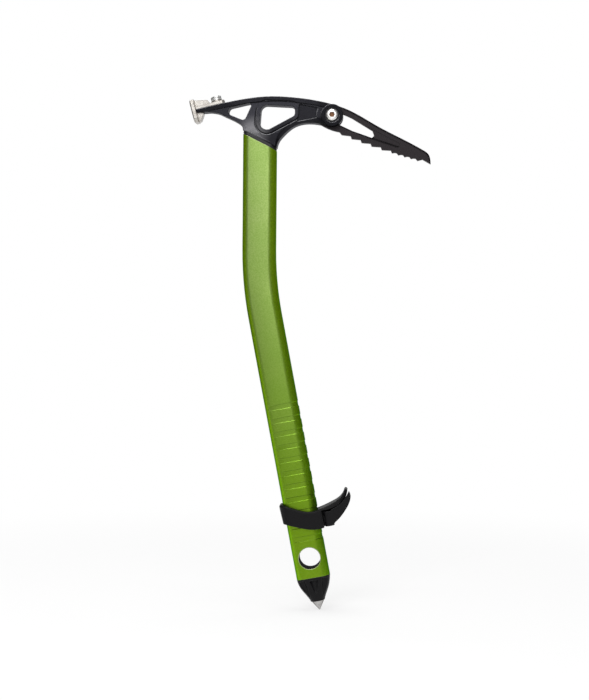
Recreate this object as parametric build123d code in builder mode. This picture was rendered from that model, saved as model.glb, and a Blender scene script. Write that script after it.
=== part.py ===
"""Ice climbing tool with a bent tube shaft, a bolted pick, a hammer and a sliding pommel.

Units are millimetres. The origin is the centre of the clip hole at the foot of the shaft.
+Z runs up the straight upper shaft to the head, +X towards the pick, and Y across the tool.
The two palm-wide faces of the tool look along -Y and +Y.
"""

from build123d import *
from math import cos, radians, sin, tan
import os

os.makedirs("parts", exist_ok=True)

# Shaft tube
shaft_width = 32.6
shaft_depth = 20.0
shaft_wall = 1.5
palm_corner = 6.0
finger_corner = 8.5
bend_angle = 11.0
bend_radius = 340.0
hole_to_bend = 271.7
bend_to_head = 134.6
hole_to_shaft_end = 19.2
clip_hole_radius = 10.4
rim_chamfer = 0.4

# Grip grooves pressed into the handle
groove_count = 11
groove_pitch = 13.0
groove_height = 5.2
groove_depth = 0.45
groove_foot = 17.0
groove_slope = 0.45
groove_start = -13.3

# Joint between the shaft and the head
joint_angle = 26.5
joint_rise = 1.3
collar_height = 3.2
collar_inset = 0.5
collar_fin = 0.6
tongue_length = 34.0
tongue_wall = 3.0
bond_gap = 0.12
seat_gap = 0.05

# Head forging
head_face = 9.4
head_face_top = 6.2
slope_foot = 10.0
slope_top = 40.0
flange_half = 7.6
flange_height = 4.6
flange_round = 1.8
tail_end = -61.9
tail_top = 32.8
tail_foot = 30.0
tail_foot_across = -52.0
crown_height = 45.6
crown_across = 11.6
boss_radius = 10.6
boss_half = 9.2
boss_round = 0.5
palm_round = 3.0
finger_round = 5.2
bead_height = 1.7
bead_stand = 0.45
rim_width = 3.7
rim_half = 8.0
rim_groove = 1.3
rim_reach = 20.0
pocket_half = 5.4
pocket_gap = 4.6

# Pick and its bolt
bolt_across = 69.8
bolt_height = 27.4
pick_thickness = 4.0
pick_play = 0.12
tang_radius = 14.2
tang_ring = 9.4
tooth_line_radius = 600.0
tooth_line_slope = -22.4
large_tooth_count = 6
large_tooth_pitch = 10.4
large_tooth_depth = 2.3
small_tooth_count = 4
small_tooth_pitch = 6.4
small_tooth_depth = 1.5
pick_recess = 0.4
pick_bevel = 0.9
bolt_radius = 3.0
bolt_play = 0.1
bolt_head_radius = 5.5
bolt_head_height = 3.0
socket_radius = 2.8
socket_depth = 2.0
washer_radius = 6.9
washer_thickness = 1.0
washer_play = 0.2
nut_radius = 6.0
nut_flange = 1.8
nut_sleeve = 4.4

# Hammer
hammer_tilt = 15.0
hammer_flange = 2.4
hammer_flange_length = 29.0
hammer_face_up = 10.2
hammer_face_down = 12.3
hammer_face_half = 10.5
hammer_face_thickness = 4.2
hammer_web_half = 2.0
hammer_lug_half = 5.0
hammer_boss_along = 21.4
hammer_boss_radius = 5.4
hammer_boss_height = 1.6
hammer_screw_radius = 2.5
hammer_screw_head = 5.0
hammer_screw_head_height = 4.0
insert_radius = 3.9
insert_length = 6.5

# Ferrule and spike
plug_top = 14.0
ferrule_length = 23.6
nose_radius = 8.1
nose_foot_radius = 7.0
flute_top_radius = 4.9
flute_foot_radius = 0.9
flute_depth = 2.7
flute_band = 3.0
spike_radius = 6.3
spike_length = 9.3
spike_tip = 0.4
shank_radius = 3.6
shank_length = 15.0
spike_pin_radius = 1.0
spike_pin_height = -34.4
pin_play = 0.03

# Pommel, its clamp lever and tension screw
pommel_play = 0.35
pommel_half = 14.6
pommel_palm = 20.0
saddle_height = 46.4
rest_round = 1.3
collar_edge = 19.7
horn_back = 12.6
hub_radius = 5.2
hub_relief = 4.5
hub_across = 25.5
hub_back = 9.4
blade_thickness = 5.0
blade_gap = 0.3
lever_foot = 28.0
lever_top = 42.4
lever_slot = 4.6
lever_swing_room = 1.9
barrel_radius = 3.0
running_gap = 0.05
screw_radius = 1.8
screw_head_radius = 3.6
screw_head_height = 2.6
screw_washer_radius = 4.6
screw_washer_thickness = 0.8
plate_thickness = 0.8
ear_thickness = 4.3
ear_end = 30.6
slit = 1.2
pocket_end = 31.4
ear_top_gap = 0.7

bend = radians(bend_angle)
handle_up = Vector(-sin(bend), 0, cos(bend))
handle_across = Vector(cos(bend), 0, sin(bend))
handle_front = Plane(origin=(0, 0, 0), x_dir=handle_across, z_dir=(0, -1, 0))
bend_corner = handle_up * hole_to_bend
head_origin = bend_corner + Vector(0, 0, bend_to_head)
head_front = Plane(origin=head_origin, x_dir=(1, 0, 0), z_dir=(0, -1, 0))
joint_slope = tan(radians(joint_angle))
half_width = shaft_width / 2
half_depth = shaft_depth / 2


def handle_section(height):
    """Plane square to the handle, `height` above the clip hole, with local X to the fingers."""
    return Plane(origin=handle_up * height, x_dir=handle_across, z_dir=handle_up)


def head_section(height):
    """Level plane through the upper shaft, `height` above the head's own origin."""
    return Plane(origin=head_origin + Vector(0, 0, height), x_dir=(1, 0, 0), z_dir=(0, 0, 1))


def joint_plane(rise):
    """Oblique plane of the shaft joint, moved `rise` up the shaft."""
    lean = radians(joint_angle)
    centre = head_origin + Vector(0, 0, joint_rise + rise)
    return Plane(origin=centre, x_dir=(cos(lean), 0, -sin(lean)), z_dir=(sin(lean), 0, cos(lean)))


def shaft_profile(inset=0.0, lean=0.0):
    """Section of the shaft, `inset` inside its skin, stretched for a plane that leans."""
    width = (shaft_width - 2 * inset) / cos(radians(lean))
    with BuildSketch() as profile:
        Rectangle(width, shaft_depth - 2 * inset)
        fillet(profile.vertices().group_by(Axis.X)[0], palm_corner - inset)
        fillet(profile.vertices().group_by(Axis.X)[-1], finger_corner - inset)
    return profile.sketch


# Shaft: a hydroformed aluminium tube, swept round its one bend
with BuildPart() as shaft:
    with BuildLine() as centre_line:
        FilletPolyline(
            handle_up * -hole_to_shaft_end,
            bend_corner,
            head_origin + Vector(0, 0, shaft_width),
            radius=bend_radius,
        )
    with BuildSketch(handle_section(-hole_to_shaft_end)) as tube:
        add(shaft_profile())
        add(shaft_profile(shaft_wall), mode=Mode.SUBTRACT)
    sweep()
    split(bisect_by=joint_plane(0), keep=Keep.BOTTOM)
    for step in range(groove_count):
        middle = groove_foot + (step * groove_pitch) + groove_height / 2
        with BuildLine(handle_section(middle)) as round_finger:
            Line((groove_start, -half_depth), (half_width - finger_corner, -half_depth))
            RadiusArc(
                (half_width - finger_corner, -half_depth),
                (half_width, finger_corner - half_depth),
                -finger_corner,
            )
            Line((half_width, finger_corner - half_depth), (half_width, half_depth - finger_corner))
            RadiusArc(
                (half_width, half_depth - finger_corner),
                (half_width - finger_corner, half_depth),
                -finger_corner,
            )
            Line((half_width - finger_corner, half_depth), (groove_start, half_depth))
        start = handle_section(middle).from_local_coords((groove_start, -half_depth))
        with BuildSketch(Plane(origin=start, x_dir=(0, -1, 0), z_dir=handle_across)):
            with BuildLine():
                Polyline(
                    (groove_depth, groove_height / 2 + groove_slope),
                    (-groove_depth, groove_height / 2 - groove_slope),
                    (-groove_depth, groove_slope - groove_height / 2),
                    (groove_depth, -groove_height / 2 - groove_slope),
                    close=True,
                )
            make_face()
        sweep(path=round_finger.wire(), mode=Mode.SUBTRACT)
    with BuildSketch(handle_front) as clip_hole:
        Circle(clip_hole_radius)
    extrude(amount=shaft_depth, both=True, mode=Mode.SUBTRACT)
    hole_rims = shaft.edges().filter_by(GeomType.CIRCLE).filter_by(
        lambda edge: abs(edge.radius - clip_hole_radius) < seat_gap
    )
    chamfer([hole_rims.sort_by(Axis.Y)[0], hole_rims.sort_by(Axis.Y)[-1]], rim_chamfer)
shaft.part.label = "shaft"
export_step(shaft.part, "parts/shaft.step")


# Collar: a moulded ring with one fin, closing the joint between the tube and the head
with BuildPart() as head_collar:
    fin_foot = (collar_height - collar_fin) / 2
    layers = (
        (seat_gap, fin_foot, collar_inset),
        (fin_foot, fin_foot + collar_fin, seat_gap),
        (fin_foot + collar_fin, collar_height - seat_gap, collar_inset),
    )
    for foot, top, inset in layers:
        with BuildSketch(joint_plane(foot)) as layer:
            add(shaft_profile(inset, joint_angle))
            add(shaft_profile(shaft_wall, joint_angle), mode=Mode.SUBTRACT)
        extrude(amount=top - foot, dir=(0, 0, 1))
head_collar.part.label = "head_collar"
export_step(head_collar.part, "parts/head_collar.step")


neck_rise = joint_rise + collar_height
neck_palm = (-half_width, neck_rise + half_width * joint_slope)
neck_finger = (half_width, neck_rise - half_width * joint_slope)
boss_foot = bolt_height - boss_radius
top_points = (
    (tail_end - 0.6, tail_top),
    (-34.2, 39.4),
    (-4.0, 44.6),
    (crown_across, crown_height),
    (28.2, 44.9),
    (61.8, 40.0),
    (72.6, 37.2),
)


large_corners = ((-1.2, 8.2), (1.2, 37.6), (33.8, 36.0), (33.8, 27.2))
large_rounds = (7.0, 6.0, 3.8, 3.8)
small_corners = ((-7.2, 39.9), (-15.0, 21.9), (-40.4, 32.3))
small_rounds = (2.2, 3.4, 4.2)


def head_outline():
    """Side view of the forging, from the shaft joint round the tail and crown to the boss."""
    with BuildSketch() as side:
        with BuildLine():
            Spline(
                neck_palm,
                (-20.6, 19.8),
                (-34.9, 26.8),
                (tail_foot_across, tail_foot + 0.6),
                tangents=((0, 1), (-1, 0.05)),
            )
            Line((tail_foot_across, tail_foot + 0.6), (tail_end, tail_foot))
            Line((tail_end, tail_foot), top_points[0])
            Spline(*top_points)
            Line(top_points[-1], (bolt_across, boss_foot))
            Spline(
                (bolt_across, boss_foot),
                (57.6, 19.6),
                (48.0, 20.5),
                (33.9, 17.6),
                (22.3, 8.2),
                neck_finger,
                tangents=((-1, 0.2), (-0.15, -1)),
            )
            Line(neck_finger, neck_palm)
        make_face()
    return side.sketch


def large_window(grow=0.0):
    """Main opening of the head, a rounded triangle beside the shaft axis."""
    with BuildSketch() as opening:
        with BuildLine():
            Polyline(*large_corners, close=True)
        make_face()
        for corner, radius in zip(large_corners, large_rounds):
            fillet(opening.vertices().sort_by_distance(corner)[0], radius)
        if grow:
            offset(amount=grow)
    return opening.sketch


def small_window():
    """Rear opening of the head, a rounded triangle that points to the tail."""
    with BuildSketch() as opening:
        with BuildLine():
            Polyline(*small_corners, close=True)
        make_face()
        for corner, radius in zip(small_corners, small_rounds):
            fillet(opening.vertices().sort_by_distance(corner)[0], radius)
    return opening.sketch


def on_head(across, height, front=0.0):
    """Point given in the head's side view, `front` towards the viewer of that side."""
    return head_front.from_local_coords((across, height, front))


hammer_lean = radians(hammer_tilt)
hammer_along = Vector(cos(hammer_lean), 0, sin(hammer_lean))
hammer_up = Vector(-sin(hammer_lean), 0, cos(hammer_lean))
hammer_origin = on_head(*top_points[0])
hammer_side = Plane(origin=hammer_origin, x_dir=hammer_along, z_dir=(0, -1, 0))


def hammer_level(height):
    """Plane square to the hammer screw, `height` above the tail of the head."""
    return Plane(origin=hammer_origin + hammer_up * height, x_dir=hammer_along, z_dir=hammer_up)


# Head: a forged aluminium arm with two windows, a crown flange and a forked pick boss
with BuildPart() as head:
    with BuildSketch(head_front) as blank:
        add(head_outline())
    extrude(amount=head_face, both=True)
    for side in (-1, 1):
        with BuildSketch(Plane(origin=head_origin, x_dir=(0, 1, 0), z_dir=(1, 0, 0))) as slope:
            with BuildLine():
                Polyline(
                    (side * head_face, slope_foot),
                    (side * head_face_top, slope_top),
                    (side * head_face_top, slope_top + crown_height),
                    (side * 2 * head_face, slope_top + crown_height),
                    (side * 2 * head_face, slope_foot),
                    close=True,
                )
            make_face()
        extrude(amount=2 * bolt_across, both=True, mode=Mode.SUBTRACT)
    for foot_point, foot_round in ((neck_palm, palm_round), (neck_finger, finger_round)):
        underside = head.faces().filter_by(GeomType.EXTRUSION).sort_by_distance(on_head(*foot_point))[0]
        fillet(underside.edges().sort_by(SortBy.LENGTH)[-2:], foot_round)
    with BuildSketch(head_front) as flange:
        with BuildLine():
            Spline(*top_points)
            Line(top_points[-1], (top_points[-1][0], top_points[-1][1] - flange_height))
            Spline(*[(x, z - flange_height) for x, z in reversed(top_points)])
            Line((top_points[0][0], top_points[0][1] - flange_height), top_points[0])
        make_face()
        add(head_outline(), mode=Mode.INTERSECT)
    extrude(amount=flange_half, both=True)
    crown = head.faces().sort_by(Axis.Z)[-1]
    fillet(crown.edges().sort_by(SortBy.LENGTH)[-2:], flange_round)
    with BuildSketch(head_front) as boss:
        with Locations((bolt_across, bolt_height)):
            Circle(boss_radius)
    extrude(amount=boss_half, both=True)
    cheeks = head.edges().filter_by(GeomType.CIRCLE).filter_by_position(
        Axis.Y, -boss_half - seat_gap, boss_half + seat_gap
    )
    fillet([cheeks.sort_by(Axis.Y)[0], cheeks.sort_by(Axis.Y)[-1]], boss_round)
    for side in (-1, 1):
        with BuildSketch(head_front.offset(side * rim_half)) as rim:
            add(large_window(rim_width))
        extrude(amount=side * head_face, mode=Mode.SUBTRACT)
        with BuildSketch(head_front.offset(side * (rim_half - rim_groove))) as channel:
            add(large_window(rim_width + rim_groove))
            add(large_window(rim_width), mode=Mode.SUBTRACT)
            with BuildLine():
                Polyline(
                    (-rim_reach, slope_foot * 2.6),
                    (flange_half, crown_height),
                    (-rim_reach, crown_height),
                    close=True,
                )
            make_face(mode=Mode.SUBTRACT)
        extrude(amount=side * head_face, mode=Mode.SUBTRACT)
        with BuildSketch(head_front.offset(side * pocket_half)) as pocket:
            with BuildLine():
                Polyline((36, 21.4), (38, 38.0), (52, 35.6), (58, 34), (58, 25.4), (52, 24.6), close=True)
            make_face()
            add(large_window(rim_width), mode=Mode.SUBTRACT)
            with Locations((bolt_across, bolt_height)):
                Circle(boss_radius + pocket_gap, mode=Mode.SUBTRACT)
        extrude(amount=side * head_face, mode=Mode.SUBTRACT)
    with BuildSketch(head_front) as windows:
        add(large_window())
        add(small_window())
    extrude(amount=2 * head_face, both=True, mode=Mode.SUBTRACT)
    with BuildSketch(head_front) as fork:
        with Locations((bolt_across, bolt_height)):
            Circle(tang_radius + pick_play)
            Rectangle(
                2 * tang_radius,
                4 * tang_radius,
                align=(Align.MIN, Align.CENTER),
            )
    extrude(amount=pick_thickness / 2 + pick_play, both=True, mode=Mode.SUBTRACT)
    bolt_line = head_front.offset(boss_half).location * Location((bolt_across, bolt_height, 0))
    with Locations(bolt_line):
        Hole(bolt_radius + bolt_play, depth=2 * boss_half)
        Hole(washer_radius + washer_play, depth=washer_thickness)
    nut_line = head_front.offset(-boss_half).location * Location((bolt_across, bolt_height, 0))
    with Locations(nut_line * Location((0, 0, 0), (180, 0, 0))):
        Hole(nut_sleeve + bolt_play, depth=boss_half - pick_thickness / 2)
        Hole(nut_radius + washer_play, depth=nut_flange)
    with Locations(hammer_level(0).location * Location((hammer_boss_along, 0, 0))):
        Hole(insert_radius + pin_play, depth=hammer_flange / 2 + insert_length + seat_gap)
    with BuildSketch(head_section(neck_rise)) as tongue:
        add(shaft_profile(shaft_wall + bond_gap))
        add(shaft_profile(shaft_wall + bond_gap + tongue_wall), mode=Mode.SUBTRACT)
    extrude(amount=-(tongue_length + neck_rise))
    with BuildSketch(joint_plane(collar_height)) as shoulder:
        add(shaft_profile(shaft_wall + collar_inset, joint_angle))
    extrude(amount=-tongue_length / 4, dir=(0, 0, 1))
    for rise, stand in ((0, 0), (bead_height / 2, bead_stand), (bead_height, 0)):
        with BuildSketch(joint_plane(collar_height + rise)) as bead:
            add(shaft_profile(collar_inset - stand, joint_angle))
    loft()
head.part.label = "head"
export_step(head.part, "parts/head.step")


def tooth_point(run, depth):
    """Point `run` along the tooth line from the rear tooth, `depth` above it in the blade."""
    start = radians(tooth_line_slope)
    turned = start + run / tooth_line_radius
    reach = tooth_line_radius - depth
    across = tooth_start[0] - tooth_line_radius * sin(start) + reach * sin(turned)
    height = tooth_start[1] + tooth_line_radius * cos(start) - reach * cos(turned)
    return (across, height)


def on_tang(angle):
    """Point on the rear end of the pick, at an angle round the bolt."""
    return (
        bolt_across + tang_radius * cos(radians(angle)),
        bolt_height + tang_radius * sin(radians(angle)),
    )


# Pick: a hot-forged steel blade with a lightening window, hooked and raked teeth and a beak
tooth_start = (79.1, 9.1)
pick_tip = (165.3, -19.0)
pick_shoulder = (158.0, -5.4)
pick_throat = (157.4, -14.5)
with BuildPart() as pick:
    with BuildSketch(head_front) as blade:
        with BuildLine():
            ThreePointArc(on_tang(215), on_tang(170), on_tang(122))
            Spline(on_tang(122), (74.9, 37.3), (88.6, 31.9), (115.0, 17.0), (140.4, 4.1), pick_shoulder)
            Spline(
                pick_shoulder,
                (162.9, -9.1),
                pick_tip,
                tangents=((0.88, -0.47), (0.05, -1)),
            )
            Line(pick_tip, pick_throat)
            run = (large_tooth_count - 1) * large_tooth_pitch
            tip = tooth_point(run + small_tooth_count * small_tooth_pitch, 0)
            Line(pick_throat, tip)
            for tooth in reversed(range(small_tooth_count)):
                foot = run + tooth * small_tooth_pitch
                gullet = tooth_point(foot + 0.68 * small_tooth_pitch, small_tooth_depth)
                hollow = tooth_point(foot + 0.36 * small_tooth_pitch, 0.85 * small_tooth_depth)
                Line(tip, gullet)
                tip = tooth_point(foot, 0)
                ThreePointArc(gullet, hollow, tip)
            for tooth in reversed(range(large_tooth_count - 1)):
                foot = tooth * large_tooth_pitch
                gullet = tooth_point(foot + 0.81 * large_tooth_pitch, large_tooth_depth)
                Line(tip, gullet)
                tip = tooth_point(foot, 0)
                Line(gullet, tip)
            heel = (77.0, 11.8)
            Line(tip, heel)
            ThreePointArc(heel, (69.3, 13.7), on_tang(215))
        make_face()
    extrude(amount=pick_thickness / 2, both=True)
    for side in (-1, 0):
        rim_edges = pick.faces().sort_by(Axis.Y)[side].edges()
        chamfer([rim_edges.sort_by(SortBy.LENGTH)[-1], rim_edges.sort_by(Axis.X)[-1]], pick_bevel)
    for side in (-1, 1):
        with BuildSketch(head_front.offset(side * (pick_thickness / 2 - pick_recess))) as recess:
            with BuildLine():
                Polyline((104, 17.0), (134.8, 1.2), (137.6, -3.8), (104, 7.2), close=True)
            make_face()
            fillet(recess.vertices().sort_by(Axis.X)[-2:], 2.0)
        extrude(amount=side * pick_thickness, mode=Mode.SUBTRACT)
    with BuildSketch(head_front) as window:
        with BuildLine():
            Polyline(
                (70.0, 22.0),
                (89.7, 12.8),
                (108.4, 6.3),
                (110.5, 8.3),
                (108.9, 12.9),
                (88.6, 25.3),
                (70.0, 33.4),
                close=True,
            )
        make_face()
        fillet(window.vertices().sort_by(Axis.X)[-1], 1.4)
        with Locations((bolt_across, bolt_height)):
            Circle(tang_ring, mode=Mode.SUBTRACT)
    extrude(amount=pick_thickness, both=True, mode=Mode.SUBTRACT)
    with BuildSketch(head_front) as eye:
        with Locations((bolt_across, bolt_height)):
            Circle(bolt_radius + bolt_play)
    extrude(amount=pick_thickness, both=True, mode=Mode.SUBTRACT)
pick.part.label = "pick"
export_step(pick.part, "parts/pick.step")


bolt_centre = on_head(bolt_across, bolt_height)
bolt_axis = Axis(bolt_centre, (0, 1, 0))
bolt_plane = Plane(origin=bolt_centre, x_dir=(1, 0, 0), z_dir=(0, 0, 1))

# Pick bolt: a machined steel button-head bolt, driven from the front
with BuildPart() as pick_bolt:
    under_head = -boss_half - seat_gap
    crown = under_head - bolt_head_height
    with BuildSketch(bolt_plane) as half_bolt:
        with BuildLine():
            Polyline(
                (bolt_head_radius, under_head),
                (bolt_radius, under_head),
                (bolt_radius, boss_half - rim_chamfer),
                (0, boss_half - rim_chamfer),
                (0, crown),
                (0.62 * bolt_head_radius, crown),
            )
            ThreePointArc(
                (0.62 * bolt_head_radius, crown),
                (0.89 * bolt_head_radius, crown + 0.22 * bolt_head_height),
                (bolt_head_radius, crown + 0.6 * bolt_head_height),
            )
            Line((bolt_head_radius, crown + 0.6 * bolt_head_height), (bolt_head_radius, under_head))
        make_face()
    revolve(axis=bolt_axis)
    with BuildSketch(head_front.offset(-crown)) as socket:
        with Locations((bolt_across, bolt_height)):
            RegularPolygon(socket_radius, 6)
    extrude(amount=-socket_depth, mode=Mode.SUBTRACT)
pick_bolt.part.label = "pick_bolt"
export_step(pick_bolt.part, "parts/pick_bolt.step")

# Pick washer: a black steel washer let into the front cheek under the bolt head
with BuildPart() as pick_washer:
    with BuildSketch(head_front.offset(boss_half - washer_thickness + seat_gap)) as ring:
        with Locations((bolt_across, bolt_height)):
            Circle(washer_radius)
            Circle(bolt_radius + bolt_play, mode=Mode.SUBTRACT)
    extrude(amount=washer_thickness - seat_gap)
pick_washer.part.label = "pick_washer"
export_step(pick_washer.part, "parts/pick_washer.step")

# Pick nut: a flanged sleeve nut in the rear cheek, with two spanner holes
with BuildPart() as pick_nut:
    with BuildSketch(head_front.offset(-boss_half)) as nut_face:
        with Locations((bolt_across, bolt_height)):
            Circle(nut_radius)
    extrude(amount=nut_flange - seat_gap)
    with BuildSketch(head_front.offset(-boss_half)) as sleeve:
        with Locations((bolt_across, bolt_height)):
            Circle(nut_sleeve)
    extrude(amount=boss_half - pick_thickness / 2 - pick_play - seat_gap)
    with Locations(head_front.offset(-boss_half).location * Location((bolt_across, bolt_height, 0))):
        Hole(bolt_radius + pin_play)
        with PolarLocations((bolt_radius + nut_radius) / 2, 2):
            Hole(0.25 * bolt_radius, depth=nut_flange / 2)
pick_nut.part.label = "pick_nut"
export_step(pick_nut.part, "parts/pick_nut.step")


# Hammer: a cast stainless striking plate with a flange, a web and a lug that grip the tail
with BuildPart() as hammer:
    with BuildSketch(Plane(origin=hammer_origin, x_dir=(0, -1, 0), z_dir=-hammer_along)) as plate:
        with Locations((0, (hammer_face_up - hammer_face_down) / 2)):
            Rectangle(2 * hammer_face_half, hammer_face_up + hammer_face_down)
        chamfer(plate.vertices(), 0.35 * hammer_face_half)
    extrude(amount=hammer_face_thickness)
    chamfer(hammer.faces().sort_by(Axis(hammer_origin, -hammer_along))[-1].edges(), 1.0)
    with BuildSketch(hammer_level(-hammer_flange / 2)) as foot:
        Rectangle(
            hammer_flange_length,
            2 * flange_half,
            align=(Align.MIN, Align.CENTER),
        )
        fillet(foot.vertices().sort_by(Axis.X)[-2:], 0.5 * flange_half)
    extrude(amount=1.5 * hammer_flange)
    with BuildSketch(hammer_side) as web:
        with BuildLine():
            Polyline(
                (0, hammer_flange / 2),
                (0, 0.94 * hammer_face_up),
                (0.6 * hammer_boss_along, 0.68 * hammer_face_up),
                (0.72 * hammer_boss_along, hammer_flange / 2),
                close=True,
            )
        make_face()
    extrude(amount=hammer_web_half, both=True)
    with BuildSketch(hammer_side) as lug:
        with BuildLine():
            Polyline(
                (0, 0),
                (0.3 * hammer_boss_along, -hammer_flange),
                (0.3 * hammer_boss_along, -0.45 * hammer_face_down),
                (0.1 * hammer_boss_along, -0.95 * hammer_face_down),
                (0, -0.97 * hammer_face_down),
                close=True,
            )
        make_face()
    extrude(amount=hammer_lug_half, both=True)
    with BuildSketch(hammer_level(hammer_flange / 2)) as boss_ring:
        with Locations((hammer_boss_along, 0)):
            Circle(hammer_boss_radius)
    extrude(amount=hammer_flange / 2 + hammer_boss_height)
    with BuildSketch(head_front) as tail_seat:
        with BuildLine():
            seat_top = [(across, height + seat_gap) for across, height in top_points]
            Spline(*seat_top)
            Polyline(
                seat_top[-1],
                (tail_foot_across, seat_top[-1][1] - crown_height),
                (tail_foot_across, tail_foot + 0.6 - seat_gap),
                (tail_end - seat_gap, tail_foot - seat_gap),
                (tail_end - 0.6 - seat_gap, tail_top + seat_gap),
                seat_top[0],
            )
        make_face()
    extrude(amount=boss_half, both=True, mode=Mode.SUBTRACT)
    with Locations(hammer_level(0).location * Location((hammer_boss_along, 0, 0))):
        Hole(hammer_screw_radius + bolt_play, depth=2 * hammer_face_up)
hammer.part.label = "hammer"
export_step(hammer.part, "parts/hammer.step")

hammer_axis = Axis(hammer_origin + hammer_along * hammer_boss_along, hammer_up)
screw_seat = hammer_flange + hammer_boss_height + seat_gap

# Hammer bolt: a cap screw with a hexagon socket, through the flange into the tail
with BuildPart() as hammer_bolt:
    with BuildSketch(hammer_level(screw_seat)) as cap:
        with Locations((hammer_boss_along, 0)):
            Circle(hammer_screw_head)
    extrude(amount=hammer_screw_head_height)
    chamfer(hammer_bolt.faces().sort_by(hammer_axis)[-1].edges(), rim_chamfer)
    with BuildSketch(hammer_level(screw_seat)) as shank:
        with Locations((hammer_boss_along, 0)):
            Circle(hammer_screw_radius)
    extrude(amount=-(screw_seat + insert_length))
    with BuildSketch(hammer_level(screw_seat + hammer_screw_head_height)) as hexagon:
        with Locations((hammer_boss_along, 0)):
            RegularPolygon(hammer_screw_radius, 6)
    extrude(amount=-hammer_screw_head_height / 2, mode=Mode.SUBTRACT)
hammer_bolt.part.label = "hammer_bolt"
export_step(hammer_bolt.part, "parts/hammer_bolt.step")

# Hammer insert: the threaded steel bush that the cap screw runs into
with BuildPart() as hammer_insert:
    with BuildSketch(hammer_level(-hammer_flange / 2 - seat_gap)) as bush:
        with Locations((hammer_boss_along, 0)):
            Circle(insert_radius)
            Circle(hammer_screw_radius + pin_play, mode=Mode.SUBTRACT)
    extrude(amount=-insert_length)
hammer_insert.part.label = "hammer_insert"
export_step(hammer_insert.part, "parts/hammer_insert.step")


# Ferrule: a moulded plug in the foot of the tube, pierced by the clip hole, with a fluted nose
nose_sections = (
    (0.0, half_width, half_depth, palm_corner, finger_corner),
    (5.8, 0.945 * half_width, 0.97 * half_depth, 0.64 * half_depth, 0.86 * half_depth),
    (11.8, 0.8 * half_width, 0.89 * half_depth, 0.7 * half_depth, 0.82 * half_depth),
    (20.8, nose_radius, 0.74 * half_depth, 0.7 * half_depth, 0.7 * half_depth),
    (ferrule_length, nose_foot_radius, 0.68 * half_depth, 0.64 * half_depth, 0.64 * half_depth),
)
flute_marks = [(turn * 0.69 * half_width, side * half_depth) for side in (-1, 1) for turn in (-1, 0, 1)]
flute_marks += [(half_width, 0), (-half_width, 0)]
nose_top = -hole_to_shaft_end - seat_gap
with BuildPart() as ferrule:
    for drop, half, depth, palm, finger in nose_sections:
        with BuildSketch(handle_section(nose_top - drop)) as ring:
            Rectangle(2 * half, 2 * depth)
            fillet(ring.vertices().group_by(Axis.X)[0], palm)
            fillet(ring.vertices().group_by(Axis.X)[-1], finger)
    loft()
    flute_top = nose_top - flute_band
    flute_foot = nose_top - 0.8 * ferrule_length
    for across, depth in flute_marks:
        out = Vector(across, depth, 0).normalized()
        top_mark = Vector(across, depth, 0) + out * (flute_top_radius - flute_depth)
        foot_mark = out * (nose_radius + flute_foot_radius)
        top_end = handle_section(flute_top).from_local_coords(top_mark)
        foot_end = handle_section(flute_foot).from_local_coords(foot_mark)
        length = (top_end - foot_end).length
        with Locations(Plane(origin=foot_end, z_dir=top_end - foot_end)):
            Cone(
                flute_foot_radius,
                flute_top_radius,
                length,
                align=(Align.CENTER, Align.CENTER, Align.MIN),
                mode=Mode.SUBTRACT,
            )
    with BuildSketch(handle_section(nose_top)) as plug:
        add(shaft_profile(shaft_wall + bond_gap))
    extrude(amount=plug_top - nose_top)
    with BuildSketch(handle_front) as clip_bore:
        Circle(clip_hole_radius)
    extrude(amount=shaft_depth, both=True, mode=Mode.SUBTRACT)
    with Locations(handle_section(nose_top - ferrule_length)):
        Cylinder(
            shank_radius + pin_play,
            shank_length + seat_gap,
            align=(Align.CENTER, Align.CENTER, Align.MIN),
            mode=Mode.SUBTRACT,
        )
    with BuildSketch(handle_front) as pin_bore:
        with Locations((0, spike_pin_height)):
            Circle(spike_pin_radius + pin_play)
    extrude(amount=shaft_depth, both=True, mode=Mode.SUBTRACT)
ferrule.part.label = "ferrule"
export_step(ferrule.part, "parts/ferrule.step")

# Spike: a turned steel point on a shank
spike_base = nose_top - ferrule_length - seat_gap
with BuildPart() as spike:
    with BuildSketch(handle_front) as half_spike:
        with BuildLine():
            Polyline(
                (0, spike_base + shank_length),
                (shank_radius, spike_base + shank_length),
                (shank_radius, spike_base),
                (spike_radius, spike_base),
                (spike_tip, spike_base - spike_length),
                (0, spike_base - spike_length),
                close=True,
            )
        make_face()
    revolve(axis=Axis((0, 0, 0), handle_up))
    with BuildSketch(handle_front) as cross_bore:
        with Locations((0, spike_pin_height)):
            Circle(spike_pin_radius + pin_play)
    extrude(amount=shaft_depth, both=True, mode=Mode.SUBTRACT)
spike.part.label = "spike"
export_step(spike.part, "parts/spike.step")

# Spike pin: a steel cross pin that locks the spike's shank in the ferrule
with BuildPart() as spike_pin:
    with BuildSketch(handle_front) as pin_end:
        with Locations((0, spike_pin_height)):
            Circle(spike_pin_radius)
    extrude(amount=nose_radius - 2 * rim_chamfer, both=True)
spike_pin.part.label = "spike_pin"
export_step(spike_pin.part, "parts/spike_pin.step")


lever_ridge = ((29.6, 43.4), (35.8, 45.7), (41.4, 49.0), (46.0, 53.3), (49.4, 57.8))
lever_belly = ((50.2, 52.4), (48.1, 47.2), (43.0, 40.6), (37.0, 34.8), (hub_across, lever_foot))

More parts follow.
